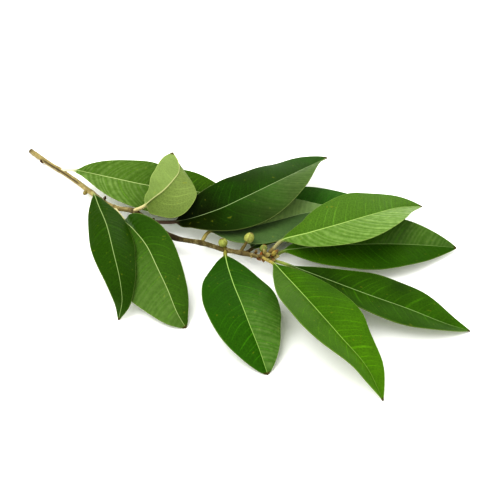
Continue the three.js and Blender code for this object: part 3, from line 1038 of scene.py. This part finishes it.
def leaf_rings(leaf, number, settings):
    """The leaf's rings of points, over the upper side and back along the underside.

    It also gives, for each point of one side, how far along, how far from the midrib in midrib
    half-widths, the place between side veins, and how far from the margin it is.
    """
    rng = np.random.default_rng(LEAF_SEED + number)
    thin = settings.blade_thickness / MM / 2
    _, _, length = follow([leaf.foot, *leaf.midrib], [0])
    stalk = np.linalg.norm(np.array(leaf.midrib[0]) - np.array(leaf.foot)) / length
    start = STALK_START / length
    shares = np.concatenate([
        np.linspace(start, stalk, STALK_ROWS, endpoint=False),
        np.linspace(stalk, 1, BLADE_ROWS),
    ])
    centre, along, _ = follow([leaf.foot, *leaf.midrib], shares)
    u = np.clip((shares - stalk) / (1 - stalk), 0, 1)
    blade_length = length * (1 - stalk)

    level = unit(np.cross(along, leaf.faces))
    turn = np.radians(between(leaf.roll, u))[:, None]
    side = level * np.cos(turn) + np.cross(along, level) * np.sin(turn)
    normal = np.cross(side, along)

    # The stalk flattens into the blade, and the tip is rounded off.
    flat = smoothstep(u, 0, BASE_SHARE)
    half = lerp(STALK_RADIUS, TIP_HALF_WIDTH, flat)
    if not leaf.left:
        half = (half**4 + (leaf.width * outline(leaf, u)) ** 4) ** 0.25
    to_tip = np.clip(1 - (1 - u) * blade_length / TIP_HALF_WIDTH, 0, TIP_END)
    rounding = np.sqrt(1 - to_tip**2)
    half = half * rounding

    straight = across_shares()
    bulge = np.sin(np.pi / 2 * np.linspace(-1, 1, len(straight)))
    s = lerp(bulge[None], straight[None], flat[:, None])
    at, half = blade_surface(leaf, u, s, centre, side, normal, flat, half)
    proud = unit(np.cross(np.gradient(at, axis=1), np.gradient(at, axis=0)))
    flat, u, rounding, total = (a[:, None] for a in (flat, u, rounding, shares * length))
    forward = u * blade_length
    x = np.abs(s) * half
    phase = vein_phase(rng, forward, x, s > 0, leaf, settings.vein_spacing / MM)
    quilting = leaf.crinkle * settings.quilting / MM
    relief = blade_relief(rng, u, s, forward, x, half, phase, quilting)
    clear = smoothstep(at[..., 2] - 2 * thin, 0, TABLE_FADE)
    at = at + proud * (flat * relief * clear)[..., None]

    # The stalk is round, and the blade thin with a midrib that stands out on both sides.
    core = np.sqrt(np.clip(STALK_RADIUS**2 - (s * STALK_RADIUS) ** 2, 0, None))
    from_foot = (shares - start) * length / STALK_SWELL_REACH
    swell = 1 + STALK_SWELL * np.exp(-(from_foot**2))[:, None] * (1 - flat)
    ridge_half = RIDGE_HALF - RIDGE_NARROWS * u
    ridge = RIDGE_HEIGHT * (1 - RIDGE_TAPER * u) * np.exp(-((x / ridge_half) ** 2))
    keel_half = KEEL_HALF * (1 - KEEL_NARROWS * u)
    keel = KEEL_DEPTH * (1 - KEEL_TAPER * u) * np.exp(-((x / keel_half) ** 2))
    over, under = (
        (np.maximum(thin, lerp(core * swell, thin + rib, flat)) * rounding)[..., None]
        for rib in (ridge, keel)
    )
    edge = at[:, [0, -1]] + unit(at[:, [0, -1]] - at[:, [1, -2]]) * (thin * EDGE_BEYOND)
    top, bottom = at + proud * over, at - proud * under
    rings = np.concatenate([top, edge[:, 1:], bottom[:, ::-1], edge[:, :1]], 1)
    facts = {
        "along": (shares[:, None] - stalk) * length + 0 * s,
        "off_rib": s * half / (MIDRIB_HALF * (1 - MIDRIB_NARROWS * u)),
        "phase": phase,
        "margin": half * (1 - np.abs(s)),
        "across": s * half,
        "total": total + 0 * s,
    }
    return rings, facts, length, blade_length


# The layout of a leaf for baking: how much of the square its length takes, where it starts,
# how far up the middle of each side is, and how wide its thin edge is laid out, in millimetres.
LAYOUT_LENGTH = 0.97
LAYOUT_START = 0.015
LAYOUT_UPPER = 0.75
LAYOUT_UNDER = 0.25
LAYOUT_EDGE = 0.35


def edges_of(values):
    """The two edges of each column of faces, for values that go straight across."""
    return np.stack([values[:, :-1], values[:, 1:]], 2)


def over_and_under(upper, under, edge=0):
    """The edges of all the columns of a leaf: its upper side, right rim, underside, left rim.

    Each rim is two columns wide, and its outer line lies an edge's width beyond the margin.
    """

    def rim(values, column, beyond):
        return np.stack([values[:, column], values[:, column] + beyond], 1)[:, None]

    return np.concatenate([
        edges_of(upper), rim(upper, -1, edge), rim(under, -1, edge)[..., ::-1],
        edges_of(under[:, ::-1]), rim(under, 0, -edge), rim(upper, 0, -edge)[..., ::-1],
    ], 1)


def leaf_maps(facts, length):
    """The maps for the bake and for the materials, with the two sides laid out apart."""
    scale = LAYOUT_LENGTH / length
    along = LAYOUT_START + scale * facts["total"]
    across = scale * facts["across"]
    spread = {name: over_and_under(values, values) for name, values in facts.items()}
    n = across.shape[1]

    # The two halves have veins of their own, so neither borrows from the other at the midrib.
    phase = spread["phase"]
    middle = n // 2
    for column in (middle, n + 1 + middle):
        phase[:, column - 1, 1] = phase[:, column - 1, 0]
        phase[:, column, 0] = phase[:, column, 1]
    upper, under = LAYOUT_UPPER + across, LAYOUT_UNDER + across
    layout = [over_and_under(along, along), over_and_under(upper, under, LAYOUT_EDGE * scale)]
    maps = {
        "OFBake": np.stack(layout, -1),
        "Blade": np.stack([spread["along"], spread["off_rib"]], -1),
        "Veins": np.stack([phase, spread["margin"]], -1),
    }
    slots = np.array([0] * n + [1] * (n + 1) + [0])
    return maps, slots


def build_leaf(leaf, number, settings):
    """One leaf on its stalk, with a waxy upper side and a matte underside."""
    rings, facts, length, blade_length = leaf_rings(leaf, number, settings)
    maps, slots = leaf_maps(facts, length)
    mesh = skin_over(leaf.name, rings, maps, slots)
    greens = [linear(colour) for colour in (leaf.deep, leaf.fresh, leaf.rib)]
    under_greens = [settings.under_deep, settings.under_fresh, linear("#A6A878")]
    sides = (
        ("waxy upper side", UPPER_SIDE, greens, settings.upper_roughness),
        ("matte underside", UNDERSIDE, under_greens, settings.under_roughness),
    )
    materials = [
        leaf_tissue(
            f"Laurel leaf, {title}, {leaf.name}", side, leaf, colours, roughness,
            settings.vein_spacing, blade_length,
        )
        for title, side, colours, roughness in sides
    ]
    add_piece(f"{leaf.name}_finished", mesh, materials, leaf.name)


# ---- Buds ----


def bud_rings(bud, seams, settings):
    """Rings of a bud on its stalk, whose scales overlap along a number of seams."""
    start, middle = np.array(bud.start, float), np.array(bud.middle, float)
    away = middle - start
    stalk = np.linalg.norm(away) - bud.length / 2
    axis = unit(away)
    side = unit(np.cross(axis, (0.3, 1, 0.2)))
    other = np.cross(axis, side)

    # The stalk narrows on its way up, and the bud sits on it.
    share = (0.5 - 0.5 * np.cos(np.pi * np.linspace(0, 1, BUD_ROWS)))[1:]
    swell = np.sqrt(np.clip(1 - (1 - 2 * share ** (1 / bud.sharpness)) ** 2, 0, 1))
    neck = bud.stalk_radius * BUD_STALK_TAPER * (1 - smoothstep(share, 0, 0.12))
    radius = np.maximum(np.maximum(bud.width / 2 * swell, 0.02), neck)
    foot = np.linspace(BUD_FOOT_START, stalk, BUD_FOOT_ROWS)
    height = np.concatenate([foot, stalk + bud.length * share])[:, None, None]
    thinner = np.linspace(1, BUD_STALK_TAPER, BUD_FOOT_ROWS)
    radius = np.concatenate([bud.stalk_radius * thinner, radius])[:, None]
    up = np.concatenate([np.zeros(BUD_FOOT_ROWS), share])[:, None]

    turn = circle(BUD_SIDES)[None]
    saw = ((turn + BUD_LEAN * up) * seams / TURN) % 1
    tier = (up * BUD_TIERS) % 1
    over = saw**3 * smoothstep(up, 0.02, 0.2) * (1 - smoothstep(up, 0.9, 1))
    tiers = np.exp(-((1 - tier) / BUD_TIER_EDGE) ** 2) * smoothstep(up, 0.02, 0.1)
    rise = settings.scale_height / MM * (over + 0.5 * tiers - 0.3)
    full = radius + rise * smoothstep(up, 0, 0.1) * (radius > 0.3)
    out = side * np.cos(turn)[..., None] + other * np.sin(turn)[..., None]
    rings = start + axis * height + out * full[..., None]

    edge = np.exp(-((1 - saw) / BUD_EDGE) ** 2) * smoothstep(up, 0.02, 0.15)
    woody = 0.9 * (1 - smoothstep(up, 0.01, 0.1))
    dry = np.clip(0.75 * edge + 0.8 * smoothstep(up, 0.86, 0.96) + woody + 0 * turn, 0, 1)
    return rings, dry


def build_bud(bud, seams, settings, title):
    """One bud on its stalk. "seams" is how many scales go round it."""
    rings, dry = bud_rings(bud, seams, settings)
    layout = bake_map(*unrolled(len(rings), BUD_SIDES))
    mesh = skin_over(bud.name, rings, {"OFBake": layout, "Scales": around(np.stack([dry, dry], -1))})
    material = bud_scale(title, linear(bud.body), linear(bud.edge), settings.roughness)
    add_piece(f"{bud.name}_finished", mesh, [material], bud.name)


# ---- Papery scales ----


def scale_rings(foot, points_to, outward, length):
    """Rings of a small pointed scale that stands on its foot and hugs what it grows round."""
    across = unit(np.cross(points_to, outward))
    back = np.cross(across, points_to)
    width = SCALE_WIDTH * length
    u = np.linspace(0, 1, SCALE_ROWS)[:, None]
    turn = circle(SCALE_SIDES)[None]

    # It is widest below its middle, and comes to a thin point.
    half = width / 2 * np.maximum(np.sin(np.pi * (0.18 + 0.82 * u)) ** 0.7, 0.03)
    thick = SCALE_THICKNESS / 2 * np.maximum(np.sqrt(1 - u**2), 0.1)
    x = half * np.cos(turn)
    hug = -SCALE_HUG * (x**2) / width - SCALE_BOW * length * (2 * u - 1) ** 2
    y = thick * np.sin(turn) + hug
    forward = length * u + 0 * turn
    return foot + across * x[..., None] + points_to * forward[..., None] + back * y[..., None]


def build_scales(settings):
    """Papery scales that stay round the growing tip and under the flower buds, in one mesh."""
    rng = np.random.default_rng(SCALES_SEED)
    joined = bmesh.new()
    tiles = int(np.ceil(np.sqrt(len(SCALES))))
    run, edges = unrolled(SCALE_ROWS, SCALE_SIDES)
    for k, (foot, way, size) in enumerate(SCALES):
        points_to = unit(np.array(way, float))
        outward = unit(np.cross(np.cross(points_to, SCALES_FACE), points_to))
        rings = scale_rings(foot, points_to, outward, size * settings.scale_length / MM)
        corner = np.array([k % tiles, k // tiles])
        dry = np.clip(rng.uniform(-0.1, 0.8) + 0.5 * (1 - run) ** 2, 0, 1)
        maps = {
            "OFBake": (corner + bake_map(run, edges)) / tiles,
            "Scales": np.stack([dry, dry], -1),
        }
        shell = skin_over("scale", rings, maps)
        joined.from_mesh(shell)
        bpy.data.meshes.remove(shell)
    mesh = bpy.data.meshes.new("tip_scales")
    joined.to_mesh(mesh)
    joined.free()
    papery = bud_scale(
        "Laurel bud scales, papery and dry", linear("#8C8350"), linear("#5E3C22"),
        settings.roughness,
    )
    add_piece("tip_scales", mesh, [papery])


# ---- Stage ----

# The camera's place and sensor, in millimetres and degrees.
CAMERA_AIM = (8, 10, 0)
CAMERA_DISTANCE = 590
CAMERA_ELEVATION = 45
SENSOR = 36

# The nearest that the camera sees, the table and the lights, in metres.
NEAREST_SEEN = 0.01
TABLE_REACH = 4
TABLE_DROP = 0.02 * MM
OVERHEAD_AT = (-0.5, 0, 1.1)
OVERHEAD_SIZE = (1, 1)
WINDOW_AT = (0.5, 1.3, 0.5)
WINDOW_SIZE = (1.6, 0.9)


def look_along(thing, direction):
    """Turn a lamp or a camera so that it looks in a direction."""
    thing.rotation_euler = direction.to_track_quat("-Z", "Y").to_euler()


def soft_light(name, place, size, power):
    """A large soft light that shines at the middle of the branch."""
    light = bpy.data.lights.new(name, "AREA")
    light.shape = "RECTANGLE"
    light.size, light.size_y = size
    light.energy = power
    lamp = bpy.data.objects.new(name, light)
    bpy.context.scene.collection.objects.link(lamp)
    lamp.location = place
    look_along(lamp, Vector(CAMERA_AIM) * MM - lamp.location)
    lamp.visible_camera = False
    return lamp


def lay_table(settings, scene):
    """A wide table of white card, matte, with a fine tooth, just under the lowest leaf."""
    mesh = bpy.data.meshes.new("table")
    reach, drop = TABLE_REACH, -TABLE_DROP
    corners = [(-reach, -reach), (reach, -reach), (reach, reach), (-reach, reach)]
    mesh.from_pydata([(x, y, drop) for x, y in corners], [], [(0, 1, 2, 3)])
    table = bpy.data.objects.new("table", mesh)
    scene.collection.objects.link(table)
    material, node = new_material("White card, matte")
    place = node("TexCoord").outputs["Object"]
    tooth = node("TexNoise", {"Vector": place, "Scale": 1 / (CARD_TOOTH_SIZE * MM)})
    gloss = {"Roughness": 0.8, "IOR": 1.45}
    finish_material(node, settings.table, gloss, tooth, relief=0.01)
    mesh.materials.append(material)


def light_room(settings, scene):
    """A window behind the branch, a soft light above it and even light from the room.

    The leaves shine only where they mirror the window, so the others are hidden from gloss.
    """
    overhead = soft_light("overhead", OVERHEAD_AT, OVERHEAD_SIZE, settings.overhead_power)
    overhead.visible_glossy = False
    soft_light("window", WINDOW_AT, WINDOW_SIZE, settings.window_power)
    world = bpy.data.worlds.new("room")
    world.use_nodes = True
    background = world.node_tree.nodes["Background"]
    background.inputs["Color"].default_value = (1, 1, 1, 1)
    background.inputs["Strength"].default_value = settings.sky_strength
    scene.world = world
    world.cycles_visibility.glossy = False
    scene.view_settings.view_transform = "Standard"
    scene.view_settings.look = "High Contrast"


def set_camera(settings, scene):
    """A camera that looks down at the branch from the front."""
    camera = bpy.data.cameras.new("camera")
    camera.lens = settings.lens
    camera.sensor_width = SENSOR
    camera.clip_start = NEAREST_SEEN
    eye = bpy.data.objects.new("camera", camera)
    scene.collection.objects.link(eye)
    tilt = np.radians(CAMERA_ELEVATION)
    away = Vector((0, -np.cos(tilt), np.sin(tilt))) * CAMERA_DISTANCE * MM
    eye.location = Vector(CAMERA_AIM) * MM + away
    look_along(eye, -away)
    scene.camera = eye


# ---- Operators and panel ----

SIDE_BUD_SEAMS = 3
FLOWER_BUD_SEAMS = 4
TIP_BUD_SEAMS = 5


class LAUREL_OT_stem(bpy.types.Operator):
    """Build the woody stem with its joints, scars and cut face"""

    bl_idname = "laurel.stem"
    bl_label = "Build the stem"

    def execute(self, context):
        build_stem(context.scene.laurel_stem)
        return {"FINISHED"}


class LAUREL_OT_leaves(bpy.types.Operator):
    """Build the twelve leaves, each with its stalk"""

    bl_idname = "laurel.leaves"
    bl_label = "Build the leaves"

    def execute(self, context):
        for number, leaf in enumerate(LEAVES):
            build_leaf(leaf, number, context.scene.laurel_leaves)
        return {"FINISHED"}


class LAUREL_OT_buds(bpy.types.Operator):
    """Build the side buds, the flower buds and the bud at the growing tip"""

    bl_idname = "laurel.buds"
    bl_label = "Build the buds"

    def execute(self, context):
        settings = context.scene.laurel_buds
        for bud in SIDE_BUDS:
            title = f"Laurel side bud, dry scales, {bud.name}"
            build_bud(bud, SIDE_BUD_SEAMS, settings, title)
        for bud in FLOWER_BUDS:
            title = f"Laurel flower bud, waxy, {bud.name}"
            build_bud(bud, FLOWER_BUD_SEAMS, settings, title)
        title = "Laurel tip bud, papery scales"
        build_bud(TIP_BUD, TIP_BUD_SEAMS, settings, title)
        build_scales(settings)
        return {"FINISHED"}


class LAUREL_OT_stage(bpy.types.Operator):
    """Lay the table, hang the lights and set up the camera"""

    bl_idname = "laurel.stage"
    bl_label = "Set the stage"

    def execute(self, context):
        for part in (lay_table, light_room, set_camera):
            part(context.scene.laurel_stage, context.scene)
        return {"FINISHED"}


class LAUREL_PT_branch(bpy.types.Panel):
    """Settings and steps for the bay laurel branch"""

    bl_idname = "LAUREL_PT_branch"
    bl_label = "Bay laurel branch"
    bl_space_type = "VIEW_3D"
    bl_region_type = "UI"
    bl_category = "Laurel"

    def draw(self, context):
        for name, (_, operator) in STEPS.items():
            settings = getattr(context.scene, name)
            box = self.layout.box()
            for field in settings.__annotations__:
                box.prop(settings, field)
            box.operator(operator.bl_idname)


STEPS = {
    "laurel_stem": (LaurelStemSettings, LAUREL_OT_stem),
    "laurel_leaves": (LaurelLeafSettings, LAUREL_OT_leaves),
    "laurel_buds": (LaurelBudSettings, LAUREL_OT_buds),
    "laurel_stage": (LaurelStageSettings, LAUREL_OT_stage),
}
CLASSES = [cls for step in STEPS.values() for cls in step] + [LAUREL_PT_branch]


def register():
    """Make the settings, the operators and the panel known to Blender."""
    for cls in CLASSES:
        bpy.utils.register_class(cls)
    for name, (group, _) in STEPS.items():
        setattr(bpy.types.Scene, name, bpy.props.PointerProperty(type=group))


def unregister():
    """Take away what register added, in the opposite order."""
    for name in STEPS:
        delattr(bpy.types.Scene, name)
    for cls in reversed(CLASSES):
        bpy.utils.unregister_class(cls)


def main():
    """Build the branch and its stage."""
    register()
    bpy.ops.laurel.stem()
    bpy.ops.laurel.leaves()
    bpy.ops.laurel.buds()
    bpy.ops.laurel.stage()


if __name__ == "__main__":
    main()
